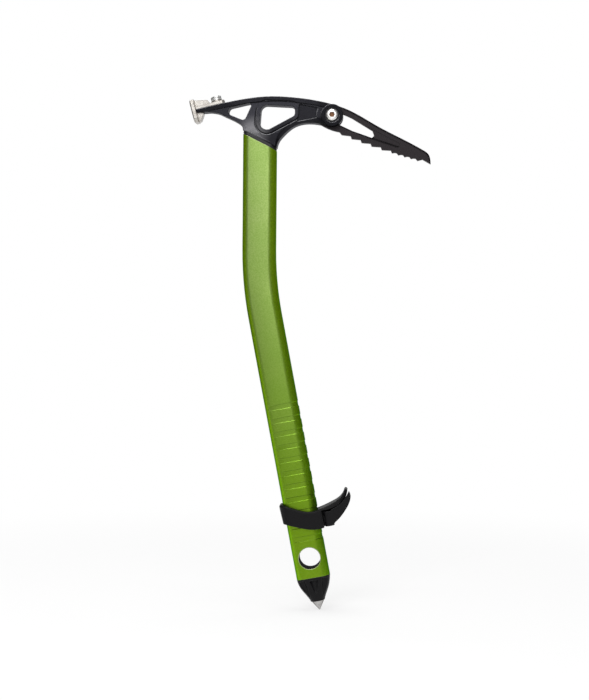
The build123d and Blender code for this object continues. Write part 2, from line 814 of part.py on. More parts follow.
# Pommel: a moulded hand rest that closes round the handle, with a horn under the hand
hub_height = (lever_foot + lever_top) / 2
ear_front = -hub_back + hub_radius + blade_gap + plate_thickness + seat_gap
ear_back = ear_front + ear_thickness
pocket_top = lever_top + lever_swing_room
with BuildPart() as pommel_body:
    with BuildSketch(handle_front) as rest_side:
        with BuildLine():
            Spline(
                (-17.8, 55.6),
                (-2.9, 48.6),
                (9.6, 44.5),
                (17.4, 45.2),
                (29.9, 48.6),
                (38.5, 52.2),
                (43.4, 56.6),
                (44.9, 59.3),
            )
            ThreePointArc((44.9, 59.3), (46.9, 60.1), (47.9, 58.0))
            Spline((47.9, 58.0), (45.3, 52.6), (39.0, 45.4), (34.6, 39.0), (32.0, 32.0))
            Spline((32.0, 32.0), (20.0, 27.4), (9.0, 27.3), (-7.6, 32.8), (-18.2, 37.0))
            ThreePointArc((-18.2, 37.0), (-18.8, 37.6), (-18.9, 38.6))
            Line((-18.9, 38.6), (-pommel_palm, 53.6))
            ThreePointArc((-pommel_palm, 53.6), (-19.4, 55.3), (-17.8, 55.6))
        make_face()
    extrude(amount=pommel_half + 1, both=True)
    with BuildSketch(handle_section(0)) as plan:
        with BuildLine():
            Polyline(
                (-pommel_palm, -pommel_half),
                (38, -pommel_half),
                (51, -9.5),
                (51, 7.0),
                (32, horn_back),
                (10, pommel_half),
                (-pommel_palm, pommel_half),
                close=True,
            )
        make_face()
        fillet(plan.vertices().group_by(Axis.X)[0], 9.0)
        fillet(plan.vertices().group_by(Axis.X)[-1], 5.0)
    extrude(amount=hole_to_bend / 2, mode=Mode.INTERSECT)
    saddle = pommel_body.faces().sort_by_distance(handle_up * saddle_height)[0]
    fillet(saddle.edges().sort_by(SortBy.LENGTH)[-4:], rest_round)
    with BuildSketch(handle_section(0)) as bore:
        add(shaft_profile(-pommel_play))
    extrude(amount=hole_to_bend / 2, mode=Mode.SUBTRACT)
    with BuildSketch(handle_front.offset(pommel_half - blade_thickness - blade_gap)) as lever_bed:
        with BuildLine():
            ledge = [
                (across - blade_gap, height + blade_gap + swing_rise * lever_swing_room)
                for (across, height), swing_rise in zip(lever_ridge, (0.6, 0.35, 0.2, 0.08, 0))
            ]
            Spline(*ledge)
            Polyline(
                ledge[-1],
                (2 * hub_across, ledge[-1][1]),
                (2 * hub_across, lever_foot / 2),
                (collar_edge, lever_foot / 2),
                (collar_edge, pocket_top),
                (ledge[0][0] - blade_thickness / 2, pocket_top),
                ledge[0],
            )
        make_face()
    extrude(amount=pommel_half, mode=Mode.SUBTRACT)
    with BuildSketch(handle_section(0)) as hub_bed:
        with BuildLine():
            Polyline(
                (collar_edge, -2 * pommel_half),
                (pocket_end, -2 * pommel_half),
                (pocket_end, ear_front),
                (collar_edge, ear_front),
                close=True,
            )
        make_face()
    extrude(amount=pocket_top, mode=Mode.SUBTRACT)
    with BuildSketch(handle_section(0)) as slit_cut:
        with BuildLine():
            Polyline(
                (collar_edge / 2, ear_back),
                (ear_end, ear_back),
                (ear_end, ear_front),
                (pocket_end, ear_front),
                (pocket_end, ear_back + slit),
                (collar_edge / 2, ear_back + slit),
                close=True,
            )
        make_face()
    extrude(amount=pocket_top, mode=Mode.SUBTRACT)
    with BuildSketch(handle_section(pocket_top - ear_top_gap)) as ear_top:
        with BuildLine():
            Polyline(
                (collar_edge, ear_front),
                (pocket_end, ear_front),
                (pocket_end, ear_back + slit),
                (collar_edge, ear_back + slit),
                close=True,
            )
        make_face()
    extrude(amount=ear_top_gap, mode=Mode.SUBTRACT)
    with BuildSketch(handle_front) as screw_bore:
        with Locations((hub_across, hub_height)):
            Circle(screw_radius + bolt_play)
    extrude(amount=-2 * pommel_half, mode=Mode.SUBTRACT)
    with BuildSketch(handle_front) as front_bore:
        with Locations((hub_across, hub_height)):
            Circle(screw_radius + bolt_play)
    extrude(amount=-ear_front, mode=Mode.SUBTRACT)
    seat_back = horn_back - screw_head_height
    with BuildSketch(handle_front.offset(-seat_back)) as head_bed:
        with Locations((hub_across, hub_height)):
            Circle(screw_washer_radius + blade_gap)
    extrude(amount=-pommel_half, mode=Mode.SUBTRACT)
pommel_body.part.label = "pommel_body"
export_step(pommel_body.part, "parts/pommel_body.step")

# Clamp lever: a moulded lever whose oval hub is the cam that squeezes the ear
with BuildPart() as clamp_lever:
    with BuildSketch(handle_front.offset(pommel_half - blade_thickness)) as arm:
        with BuildLine():
            Polyline(
                lever_belly[-1],
                (hub_across, lever_top - 0.2),
                (lever_ridge[0][0] - 1.8, lever_top - 0.6),
                lever_ridge[0],
            )
            Spline(*lever_ridge)
            ThreePointArc(lever_ridge[-1], (50.1, 55.4), lever_belly[0])
            Spline(*lever_belly)
        make_face()
    extrude(amount=blade_thickness)
    with BuildSketch(handle_section(lever_foot)) as hub:
        with Locations(Location((hub_across, -hub_back, 0), (0, 0, 90))):
            SlotOverall(2 * hub_radius, 2 * hub_relief)
    extrude(amount=lever_top - lever_foot - 0.2)
    with BuildSketch(handle_section(hub_height - lever_slot / 2)) as screw_slot:
        with BuildLine():
            Polyline(
                (hub_across - 2 * hub_radius, -hub_back - barrel_radius - screw_radius / 4),
                (hub_across + barrel_radius + blade_gap, -hub_back - barrel_radius - screw_radius / 4),
                (hub_across + barrel_radius + blade_gap, 0),
                (hub_across - 2 * hub_radius, 0),
                close=True,
            )
        make_face()
    extrude(amount=lever_slot, mode=Mode.SUBTRACT)
    with Locations(handle_section(lever_foot).location * Location((hub_across, -hub_back, 0))):
        Hole(barrel_radius + running_gap, depth=lever_top - lever_foot - 1)
clamp_lever.part.label = "clamp_lever"
export_step(clamp_lever.part, "parts/clamp_lever.step")

# Barrel: the steel cross pin that the lever turns on, tapped for the tension screw
with BuildPart() as lever_barrel:
    with BuildSketch(handle_section(lever_foot + seat_gap)) as barrel_end:
        with Locations((hub_across, -hub_back)):
            Circle(barrel_radius)
    extrude(amount=lever_top - lever_foot - 1 - 2 * seat_gap)
    with BuildSketch(handle_front) as tapping:
        with Locations((hub_across, hub_height)):
            Circle(screw_radius + pin_play)
    extrude(amount=2 * pommel_half, both=True, mode=Mode.SUBTRACT)
lever_barrel.part.label = "lever_barrel"
export_step(lever_barrel.part, "parts/lever_barrel.step")

# Cam plate: a stainless strip between the cam and the ear
with BuildPart() as cam_plate:
    with BuildSketch(handle_front.offset(-(ear_front - seat_gap))) as strip:
        with Locations(((collar_edge + ear_end) / 2, hub_height - seat_gap)):
            Rectangle(ear_end - collar_edge - blade_gap, lever_top - lever_foot - 2 * ear_top_gap)
        with Locations((hub_across, hub_height)):
            Circle(screw_radius + bolt_play, mode=Mode.SUBTRACT)
    extrude(amount=plate_thickness)
cam_plate.part.label = "cam_plate"
export_step(cam_plate.part, "parts/cam_plate.step")

# Tension screw: draws the barrel towards the back of the horn and sets the clamping force
with BuildPart() as tension_screw:
    under = seat_back + screw_washer_thickness + 2 * seat_gap
    with BuildSketch(handle_front.offset(-under)) as screw_head:
        with Locations((hub_across, hub_height)):
            Circle(screw_head_radius)
    extrude(amount=-screw_head_height)
    with BuildSketch(handle_front.offset(-under)) as screw_shank:
        with Locations((hub_across, hub_height)):
            Circle(screw_radius)
    extrude(amount=under + hub_back + 0.8 * barrel_radius)
    with BuildSketch(handle_front.offset(-under - screw_head_height)) as key:
        with Locations((hub_across, hub_height)):
            RegularPolygon(0.5 * screw_head_radius, 6)
    extrude(amount=screw_head_height / 2, mode=Mode.SUBTRACT)
tension_screw.part.label = "tension_screw"
export_step(tension_screw.part, "parts/tension_screw.step")

# Screw washer: spreads the load of the tension screw on the moulding
with BuildPart() as screw_washer:
    with BuildSketch(handle_front.offset(-seat_back - seat_gap)) as disc:
        with Locations((hub_across, hub_height)):
            Circle(screw_washer_radius)
            Circle(screw_radius + bolt_play, mode=Mode.SUBTRACT)
    extrude(amount=-screw_washer_thickness)
screw_washer.part.label = "screw_washer"
export_step(screw_washer.part, "parts/screw_washer.step")
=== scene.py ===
import math

import bpy
from mathutils import Matrix, Vector


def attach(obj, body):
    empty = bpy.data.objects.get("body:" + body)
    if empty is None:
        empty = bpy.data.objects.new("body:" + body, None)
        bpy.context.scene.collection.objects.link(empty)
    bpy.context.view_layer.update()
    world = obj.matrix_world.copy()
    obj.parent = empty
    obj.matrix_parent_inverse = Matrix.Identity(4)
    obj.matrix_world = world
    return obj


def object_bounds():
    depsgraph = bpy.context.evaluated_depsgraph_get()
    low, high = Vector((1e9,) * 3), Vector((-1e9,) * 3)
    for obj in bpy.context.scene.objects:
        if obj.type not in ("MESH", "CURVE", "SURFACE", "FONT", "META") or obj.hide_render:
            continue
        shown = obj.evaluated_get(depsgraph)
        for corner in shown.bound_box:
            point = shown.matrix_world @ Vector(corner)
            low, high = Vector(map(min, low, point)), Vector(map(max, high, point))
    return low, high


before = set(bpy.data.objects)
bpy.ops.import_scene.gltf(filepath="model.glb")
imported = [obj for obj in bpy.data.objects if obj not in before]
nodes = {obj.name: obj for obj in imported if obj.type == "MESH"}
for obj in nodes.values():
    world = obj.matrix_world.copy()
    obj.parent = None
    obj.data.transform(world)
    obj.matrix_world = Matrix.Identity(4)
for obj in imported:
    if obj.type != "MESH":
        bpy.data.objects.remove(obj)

cad_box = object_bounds()

# Shaft: the hydroformed aluminium tube, bead blasted and anodised green, with the grip grooves
# pressed into it. The green is painted paler towards the top as light from above, and deeper round
# the corners as shade, its edges are painted paler as a highlight and its specks as glints. The bare
# metal shows at the sawn top edge and at the rim of the clip hole, and the inside of the hole is
# painted dark as shade.
handle_lean = math.radians(11.0)
handle_up = Vector((-math.sin(handle_lean), 0.0, math.cos(handle_lean)))
handle_across = Vector((math.cos(handle_lean), 0.0, math.sin(handle_lean)))
hole_to_bend = 0.2717
bend_to_head = 0.1346
head_origin = handle_up * hole_to_bend + Vector((0.0, 0.0, bend_to_head))
joint_lean = math.radians(26.5)
joint_normal = Vector((math.sin(joint_lean), 0.0, math.cos(joint_lean)))
joint_height = 0.0013
clip_hole_radius = 0.0104
crown_radius = 0.07
bend_foot, bend_top = 0.24, 0.30
deepest_at, palest_at = 0.02, 0.40
corner_slope_from, corner_slope_to = 0.08, 0.55
bare_top_edge, bare_top_core = 0.0005, 0.00015
bare_rim_edge, bare_rim_core = clip_hole_radius + 0.0007, clip_hole_radius + 0.0005
bore_edge, bore_core = clip_hole_radius + 0.0002, clip_hole_radius + 0.0001
low_green, painted_top_green = (0.160, 0.295, 0.004), (0.335, 0.455, 0.145)
low_corner_shade_green, high_corner_shade_green = (0.22, 0.48, 0.002), (0.48, 0.84, 0.010)
pit_green, grain_green, stain_green = (0.10, 0.20, 0.002), (0.36, 0.50, 0.14), (0.10, 0.24, 0.004)
painted_glint_green, edge_highlight_green = (0.52, 0.66, 0.28), (0.60, 0.72, 0.30)
bare_aluminium = (0.56, 0.60, 0.36)
bore_shade_dark = (0.010, 0.012, 0.006)
green_gloss = (0.10, 0.24, 0.0)
anodised_metallic = 0.94
seen_along_hole = (1.0, 0.0, 1.0)


class Socket:
    """A number that runs through a node tree, and takes plain arithmetic."""

    def __init__(self, tree, link):
        self.tree = tree
        self.link = link

    def reckon(self, operation, *numbers):
        return self.tree.node("ShaderNodeMath", {"operation": operation}, dict(enumerate(numbers)))

    def __add__(self, other):
        return self.reckon("ADD", self, other)

    def __radd__(self, other):
        return self.reckon("ADD", other, self)

    def __sub__(self, other):
        return self.reckon("SUBTRACT", self, other)

    def __rsub__(self, other):
        return self.reckon("SUBTRACT", other, self)

    def __mul__(self, other):
        return self.reckon("MULTIPLY", self, other)

    def __rmul__(self, other):
        return self.reckon("MULTIPLY", other, self)

    def __abs__(self):
        return self.reckon("ABSOLUTE", self)

    def larger(self, other):
        return self.reckon("MAXIMUM", self, other)


class Tree:
    """The node tree of a material or of the studio, filled node by node."""

    def __init__(self, owner, output):
        owner.use_nodes = True
        self.tree = owner.node_tree
        self.tree.nodes.clear()
        self.surface = self.tree.nodes.new(output).inputs["Surface"]

    def node(self, kind, settings=None, sockets=None, output=0):
        """Adds one node. Its settings are set first, and then its sockets are filled or linked."""
        made = self.tree.nodes.new(kind)
        for key, value in (settings or {}).items():
            setattr(made, key, value)
        for key, value in (sockets or {}).items():
            self.fill(made.inputs[key], value)
        return Socket(self, made.outputs[output])

    def fill(self, socket, value):
        if isinstance(value, Socket):
            self.tree.links.new(value.link, socket)
        elif socket.type == "RGBA":
            socket.default_value = (*value, 1.0)
        else:
            socket.default_value = value

    def vector(self, operation, *vectors, output="Vector"):
        return self.node("ShaderNodeVectorMath", {"operation": operation}, dict(enumerate(vectors)), output)

    def dot(self, first, second):
        return self.vector("DOT_PRODUCT", first, second, output="Value")

    def step(self, value, low, high, start=0.0, end=1.0):
        """A soft step from start to end while value goes from low to high."""
        return self.node(
            "ShaderNodeMapRange",
            {"interpolation_type": "SMOOTHSTEP", "clamp": True},
            {"Value": value, "From Min": low, "From Max": high, "To Min": start, "To Max": end},
        )

    def ray(self, kind):
        """1 where a camera, glossy or transmission ray meets the surface, and 0 elsewhere."""
        return self.node("ShaderNodeLightPath", output="Is " + kind + " Ray")

    def shown_rays(self):
        """1 for every ray that shows a surface to the camera, directly or in another surface."""
        return self.ray("Camera").larger(self.ray("Glossy")).larger(self.ray("Transmission"))


class Finish(Tree):
    """One procedural material, built round a single Principled shader."""

    def __init__(self, name, colour, **constants):
        self.material = bpy.data.materials.new(name)
        super().__init__(self.material, "ShaderNodeOutputMaterial")
        self.shader = self.tree.nodes.new("ShaderNodeBsdfPrincipled")
        self.tree.links.new(self.shader.outputs[0], self.surface)
        self.place = self.node("ShaderNodeTexCoord", output="Object")
        self.plain_normal = self.node("ShaderNodeNewGeometry", output="Normal")
        self.colour = colour
        self.set("Base Color", colour)
        for name_of_input, value in constants.items():
            self.set(name_of_input.replace("_", " "), value)

    def set(self, name_of_input, value):
        self.fill(self.shader.inputs[name_of_input], value)

    def tint(self, mask, colour, amount=1.0):
        """Lays a colour over the base colour where the mask is 1."""
        self.colour = self.blend(mask * amount, self.colour, colour)
        self.set("Base Color", self.colour)

    def blend(self, factor, first, second):
        """Mixes two colours, from all of the first at 0 to all of the second at 1."""
        made = self.tree.nodes.new("ShaderNodeMix")
        made.data_type = "RGBA"
        self.fill(made.inputs["Factor"], factor)
        first_input, second_input = [socket for socket in made.inputs if socket.type == "RGBA"]
        self.fill(first_input, first)
        self.fill(second_input, second)
        return Socket(self, [socket for socket in made.outputs if socket.type == "RGBA"][0])

    def along(self, axis, offset=0.0):
        """How far a point lies along a direction, in metres."""
        return self.dot(self.place, tuple(axis)) - offset

    def away(self, centre, seen=(1.0, 1.0, 1.0)):
        """How far a point lies from a centre, in metres, or from a line when seen along it."""
        offset = self.vector("MULTIPLY", self.vector("SUBTRACT", self.place, tuple(centre)), seen)
        return self.vector("LENGTH", offset, output="Value")

    def stretched(self, scales, turn=(0.0, 0.0, 0.0)):
        """The place on the piece, stretched so that a grain runs one way."""
        return self.node(
            "ShaderNodeMapping",
            {"vector_type": "POINT"},
            {"Vector": self.place, "Rotation": turn, "Scale": scales},
        )

    def noise(self, scale, detail=2.0, roughness=0.5, place=None):
        """Cloudy noise, with about scale clouds to the metre."""
        return self.node(
            "ShaderNodeTexNoise",
            {"noise_dimensions": "3D"},
            {"Vector": place or self.place, "Scale": scale, "Detail": detail, "Roughness": roughness},
        )

    def specks(self, scale):
        """The distance to the nearest of many specks, with about scale specks to the metre."""
        return self.node(
            "ShaderNodeTexVoronoi",
            {"feature": "F1"},
            {"Vector": self.place, "Scale": scale},
            output="Distance",
        )

    def rounded(self, radius, samples=16):
        """The normal as it would be with every edge rounded by a radius."""
        return self.node("ShaderNodeBevel", {"samples": samples}, {"Radius": radius})

    def edges(self, radius, low, high):
        """Where a face turns over an edge: 0 on its flats and 1 at the edge itself."""
        return self.step(1.0 - self.dot(self.rounded(radius), self.plain_normal), low, high)

    def upper_edges(self, radius, up, low, high):
        """The edges over which a face turns towards one direction, such as a ridge's upper side."""
        return self.step(self.dot(self.rounded(radius), up) - self.dot(self.plain_normal, up), low, high)

    def relief(self, *layers, broken_edge=None):
        """Stacks bumps of (height, depth in metres), on edges broken by a radius, as the normal."""
        normal = self.rounded(broken_edge, samples=6) if broken_edge else None
        for height, depth in layers:
            sockets = {"Height": height, "Distance": depth, "Strength": 1.0}
            if normal:
                sockets["Normal"] = normal
            normal = self.node("ShaderNodeBump", {}, sockets)
        self.set("Normal", normal)

    def dress(self, *names, weld_distance=0.000002, edge_angle=28.0, flat_weight=80):
        """Puts the finish on CAD pieces, and shades them smooth between their real edges."""
        for name in names:
            piece = nodes[name]
            piece.data.materials.clear()
            piece.data.materials.append(self.material)
            piece.data.shade_smooth()
            weld = piece.modifiers.new("weld_facets", "WELD")
            weld.merge_threshold = weld_distance
            crisp = piece.modifiers.new("crisp_edges", "EDGE_SPLIT")
            crisp.split_angle = math.radians(edge_angle)
            weighted = piece.modifiers.new("flat_faces", "WEIGHTED_NORMAL")
            weighted.weight = flat_weight


shaft_skin = Finish(
    "shaft_anodised_green",
    low_green,
    Specular_Tint=green_gloss,
    Specular_IOR_Level=0.2,
)
height_up = shaft_skin.along((0.0, 0.0, 1.0))
# The green is painted paler towards the top, as light from above.
top_light_paling = shaft_skin.step(height_up, deepest_at, palest_at)
shaft_skin.tint(top_light_paling, painted_top_green)
# The corners, where the sides turn away from the light, are painted a deeper green as shade.
sideways = abs(shaft_skin.dot(shaft_skin.plain_normal, tuple(handle_across)))
corner_shade_green = shaft_skin.blend(top_light_paling, low_corner_shade_green, high_corner_shade_green)
shaft_skin.tint(shaft_skin.step(sideways, corner_slope_from, corner_slope_to), corner_shade_green)
blasting = shaft_skin.noise(scale=820.0, detail=2.0, roughness=0.6)
grain = shaft_skin.noise(scale=2600.0, detail=1.0)
glint_specks = shaft_skin.specks(scale=2100.0)
cloud = shaft_skin.noise(scale=38.0, detail=3.0)
shaft_skin.tint(shaft_skin.step(blasting, 0.34, 0.66), pit_green, amount=0.35)
shaft_skin.tint(shaft_skin.step(grain, 0.45, 0.7), grain_green, amount=0.3)
# Bright specks are painted on as glints.
shaft_skin.tint(shaft_skin.step(glint_specks, 0.16, 0.05), painted_glint_green, amount=0.5)
shaft_skin.tint(shaft_skin.step(cloud, 0.3, 0.7), stain_green, amount=0.16)
# The edges and the grooves' lips are painted paler as a highlight.
shaft_skin.tint(shaft_skin.edges(radius=0.0006, low=0.02, high=0.2), edge_highlight_green, amount=0.3)
saw_edge = abs(shaft_skin.along(joint_normal, head_origin.dot(joint_normal) + joint_height))
bare_top = shaft_skin.step(saw_edge, bare_top_edge, bare_top_core)
from_hole = shaft_skin.away((0.0, 0.0, 0.0), seen_along_hole)
bare_rim = shaft_skin.step(from_hole, bare_rim_edge, bare_rim_core)
# The inside of the clip hole is painted dark as shade, and made dull and not metallic.
shaded_bore = shaft_skin.step(from_hole, bore_edge, bore_core)
shaft_skin.tint(bare_top.larger(bare_rim), bare_aluminium, amount=0.7)
shaft_skin.tint(shaded_bore, bore_shade_dark)
shaft_skin.set("Metallic", anodised_metallic - shaded_bore * anodised_metallic)
clouded = shaft_skin.step(cloud, 0.2, 0.8, start=0.33, end=0.40)
shaft_skin.set("Roughness", clouded + grain * 0.06 + shaded_bore * 0.5)
# Each side of the tube is crowned across its width, so the light falls off towards its corners.
across_handle = shaft_skin.along(handle_across)
across_top = shaft_skin.along((1.0, 0.0, 0.0), head_origin.x)
below_bend = shaft_skin.step(height_up, bend_top, bend_foot)
squared_across = across_handle * across_handle * below_bend
squared_across = squared_across + across_top * across_top * (1.0 - below_bend)
crowning = squared_across * (-1.0 / (2.0 * crown_radius))
shaft_skin.relief((crowning, 1.0), (blasting, 0.00002), (cloud, 0.00008), broken_edge=0.0003)
shaft_skin.dress("shaft")

# Head collar: the moulded ring with one fin that closes the joint between the tube and the head.
# It is matt black elastomer, pushed over the tongue before the head is glued in.
collar_black, collar_grey = (0.008, 0.008, 0.009), (0.02, 0.02, 0.022)
collar_skin = Finish("collar_moulded_black", collar_black)
collar_mould = collar_skin.noise(scale=2600.0)
collar_skin.tint(collar_mould, collar_grey)
collar_skin.set("Roughness", collar_skin.step(collar_mould, 0.3, 0.7, start=0.42, end=0.58))
collar_skin.relief((collar_mould, 0.000006))
collar_skin.dress("head_collar")

# Head: the forged aluminium arm with its two windows, trimmed, shot blasted and anodised charcoal
# black, with its tongue glued into the shaft. The neck is painted palest as a pool of light, the tail
# and the boss are the darkest, the faces are painted darker near their edges as shade, and the upper
# side of each ridge is painted pale as a highlight.
neck_centre = head_origin + Vector((-0.006, 0.0, 0.010))
neck_reach, neck_heart = 0.021, 0.003
tail_from, tail_to = -0.018, -0.036
boss_from, boss_to = 0.052, 0.060
ridge_up = (-0.35, 0.0, 0.94)
flow_stretch = (1.0, 1.0, 2.5)
charcoal, blasted_charcoal = (0.013, 0.013, 0.016), (0.020, 0.020, 0.024)
flow_charcoal, neck_light_grey = (0.034, 0.033, 0.038), (0.150, 0.148, 0.155)
highlight_grey, grey_gloss = (0.19, 0.19, 0.20), (0.3, 0.3, 0.33)
end_black, edge_shade_black = (0.004, 0.004, 0.005), (0.006, 0.006, 0.007)
head_skin = Finish(
    "head_anodised_black",
    charcoal,
    Metallic=0.7,
    Specular_IOR_Level=0.3,
    Specular_Tint=grey_gloss,
)
blast = head_skin.noise(scale=3400.0)
flow = head_skin.noise(scale=60.0, detail=3.0, place=head_skin.stretched(flow_stretch))
forward = head_skin.along((1.0, 0.0, 0.0), head_origin.x)
head_skin.tint(head_skin.step(blast, 0.35, 0.65), blasted_charcoal)
head_skin.tint(head_skin.step(flow, 0.35, 0.7), flow_charcoal, amount=0.12)
# The neck is painted pale as a pool of light.
lit_neck = head_skin.step(head_skin.away(neck_centre), neck_reach, neck_heart)
head_skin.tint(lit_neck, neck_light_grey, amount=0.95)
head_skin.tint(head_skin.step(forward, tail_from, tail_to), end_black, amount=0.5)
head_skin.tint(head_skin.step(forward, boss_from, boss_to), end_black, amount=0.6)
# The faces are painted darker near their edges as shade.
head_skin.tint(head_skin.edges(radius=0.0018, low=0.01, high=0.12), edge_shade_black, amount=0.7)
# The upper side of each ridge is painted pale as a highlight.
ridge_highlights = head_skin.upper_edges(radius=0.0008, up=ridge_up, low=0.05, high=0.25)
head_skin.tint(ridge_highlights, highlight_grey, amount=0.8)
head_skin.set("Roughness", head_skin.step(blast, 0.3, 0.7, start=0.28, end=0.38))
head_skin.relief((blast, 0.000002), (flow, 0.00004), broken_edge=0.0006)
head_skin.dress("head")

# Pick: the hot forged chrome-molybdenum steel blade, ground along its teeth and blackened. The
# dark skin is slightly brown and mottled, with finer grinding marks across the blade, and the
# bevel along its back is painted blackest as shade.
blade_back_up = (0.452, 0.0, 0.892)
grinding_stretch, grinding_turn = (6.0, 1.0, 1.0), (0.0, 0.45, 0.0)
scale_dark, scale_pale = (0.023, 0.020, 0.022), (0.026, 0.023, 0.025)
ground_brown, bevel_shade_black = (0.046, 0.041, 0.042), (0.004, 0.0035, 0.004)
pick_skin = Finish("pick_blackened_steel", scale_dark, Metallic=0.8, Specular_IOR_Level=0.1)
scale = pick_skin.noise(scale=500.0)
grinding = pick_skin.noise(scale=700.0, place=pick_skin.stretched(grinding_stretch, grinding_turn))
pick_skin.tint(pick_skin.step(scale, 0.3, 0.7), scale_pale)
pick_skin.tint(pick_skin.step(grinding, 0.4, 0.7), ground_brown, amount=0.12)
# The bevel along the back is painted black as shade.
back_bevel_shade = pick_skin.upper_edges(radius=0.0022, up=blade_back_up, low=0.02, high=0.12)
pick_skin.tint(back_bevel_shade, bevel_shade_black, amount=0.9)
pick_skin.set("Roughness", pick_skin.step(scale, 0.2, 0.8, start=0.40, end=0.48))
pick_skin.relief((grinding, 0.000001), (scale, 0.000001), broken_edge=0.0003)
pick_skin.dress("pick")

# Pick washer: a turned steel washer with a black oxide skin. It is let into the front cheek of the
# boss, under the head of the pick bolt.
oxide_black, oxide_grey = (0.012, 0.012, 0.013), (0.030, 0.030, 0.032)
oxide_skin = Finish("washer_black_oxide", oxide_black, Roughness=0.4, Metallic=0.8)
washer_turning = oxide_skin.noise(scale=700.0)
oxide_skin.tint(washer_turning, oxide_grey)
oxide_skin.relief((washer_turning, 0.000001), broken_edge=0.0002)
oxide_skin.dress("pick_washer")

# Pick bolt: a machined and nickel plated steel bolt with a button head, driven from the front.
# The bottom of its socket is a darker brown.
bolt_centre = head_origin + Vector((0.0698, 0.0, 0.0274))
socket_mouth = -0.0113
socket_wall, socket_core = 0.0031, 0.0029
clean_above, brown_below = -0.0006, 0.0004
nickel, bright_nickel = (0.84, 0.83, 0.81), (0.94, 0.93, 0.91)
socket_brown = (0.16, 0.075, 0.035)
bolt_skin = Finish("bolt_plated_steel", nickel, Metallic=0.7)
bolt_turning = bolt_skin.noise(scale=1500.0)
within_socket = bolt_skin.step(bolt_skin.away(bolt_centre, seen_along_hole), socket_wall, socket_core)
socket_depth = bolt_skin.along((0.0, 1.0, 0.0), socket_mouth)
bolt_skin.tint(bolt_skin.step(bolt_turning, 0.3, 0.7), bright_nickel)
# The bottom of the socket is a darker brown.
bolt_skin.tint(within_socket * bolt_skin.step(socket_depth, clean_above, brown_below), socket_brown)
bolt_skin.set("Roughness", bolt_skin.step(bolt_turning, 0.3, 0.7, start=0.28, end=0.34))
bolt_skin.relief((bolt_turning, 0.0000001), broken_edge=0.0003)
bolt_skin.dress("pick_bolt")

# Pick nut: the flanged sleeve nut in the rear cheek, which the pick bolt screws into. It is turned
# steel with a nickel plate, a little duller and more clouded than the bolt's.
dull_nickel, pale_nickel = (0.55, 0.55, 0.54), (0.78, 0.78, 0.77)
plated_skin = Finish("plated_steel", dull_nickel, Metallic=1.0)
plating = plated_skin.noise(scale=1300.0)
plated_skin.tint(plating, pale_nickel)
plated_skin.set("Roughness", plated_skin.step(plating, 0.3, 0.7, start=0.22, end=0.36))
plated_skin.relief((plating, 0.0000005), broken_edge=0.0002)
plated_skin.dress("pick_nut")

# Hammer: the investment cast stainless plate, tumbled bright, with darker lines painted along its
# edges as shade. A plated cap screw and a threaded bush hold it on the head's tail.
cast_dull, cast_bright, edge_shade_dark = (0.48, 0.45, 0.415), (0.57, 0.545, 0.51), (0.075, 0.055, 0.040)
hammer_skin = Finish("hammer_cast_stainless", cast_dull, Metallic=0.8)
casting = hammer_skin.noise(scale=160.0, detail=3.0)
tumbling = hammer_skin.noise(scale=1500.0, detail=1.0)
hammer_skin.tint(hammer_skin.step(casting, 0.3, 0.7), cast_bright)
# The edges are painted dark as shade.
hammer_skin.tint(hammer_skin.edges(radius=0.0012, low=0.02, high=0.12), edge_shade_dark, amount=0.9)
hammer_skin.set("Roughness", hammer_skin.step(casting, 0.3, 0.75, start=0.26, end=0.38) + tumbling * 0.04)
hammer_skin.relief((casting, 0.00002), broken_edge=0.0004)
hammer_skin.dress("hammer")
plated_skin.dress("hammer_bolt", "hammer_insert")

# Cap screw knurl: the fine straight ridges rolled round the head of the hammer's cap screw, in
# the screw's own plated steel. They stand just proud of its side, and stop short of its rounds.
hammer_lean = math.radians(15.0)
hammer_origin = head_origin + Vector((-0.0625, 0.0, 0.0328))
screw_along = Vector((math.cos(hammer_lean), 0.0, math.sin(hammer_lean)))
screw_up = Vector((-math.sin(hammer_lean), 0.0, math.cos(hammer_lean)))
screw_distance = 0.0214
screw_seat = 0.00405
screw_head_radius = 0.005
knurl_bottom, knurl_top = 0.0003, 0.0034
ridge_count = 36
ridge_sides = 6
ridge_radius = 0.00035
ridge_stand = 0.00012
knurl_tree = bpy.data.node_groups.new("rolled_knurl", "GeometryNodeTree")
knurl_sizes = (
    ("Ridges", "NodeSocketInt", ridge_count),
    ("Ring Radius", "NodeSocketFloat", screw_head_radius + ridge_stand - ridge_radius),
    ("Ridge Radius", "NodeSocketFloat", ridge_radius),
    ("Ridge Length", "NodeSocketFloat", knurl_top - knurl_bottom),
)
for size_name, size_type, _ in knurl_sizes:
    knurl_tree.interface.new_socket(size_name, in_out="INPUT", socket_type=size_type)
knurl_tree.interface.new_socket("Ridged Ring", in_out="OUTPUT", socket_type="NodeSocketGeometry")
knurl_in = knurl_tree.nodes.new("NodeGroupInput").outputs
ring = knurl_tree.nodes.new("GeometryNodeMeshCircle")
ridge = knurl_tree.nodes.new("GeometryNodeMeshCylinder")
ridge.inputs["Vertices"].default_value = ridge_sides
repeated = knurl_tree.nodes.new("GeometryNodeInstanceOnPoints")
realized = knurl_tree.nodes.new("GeometryNodeRealizeInstances")
steel = knurl_tree.nodes.new("GeometryNodeSetMaterial")
steel.inputs["Material"].default_value = plated_skin.material
knurl_out = knurl_tree.nodes.new("NodeGroupOutput")
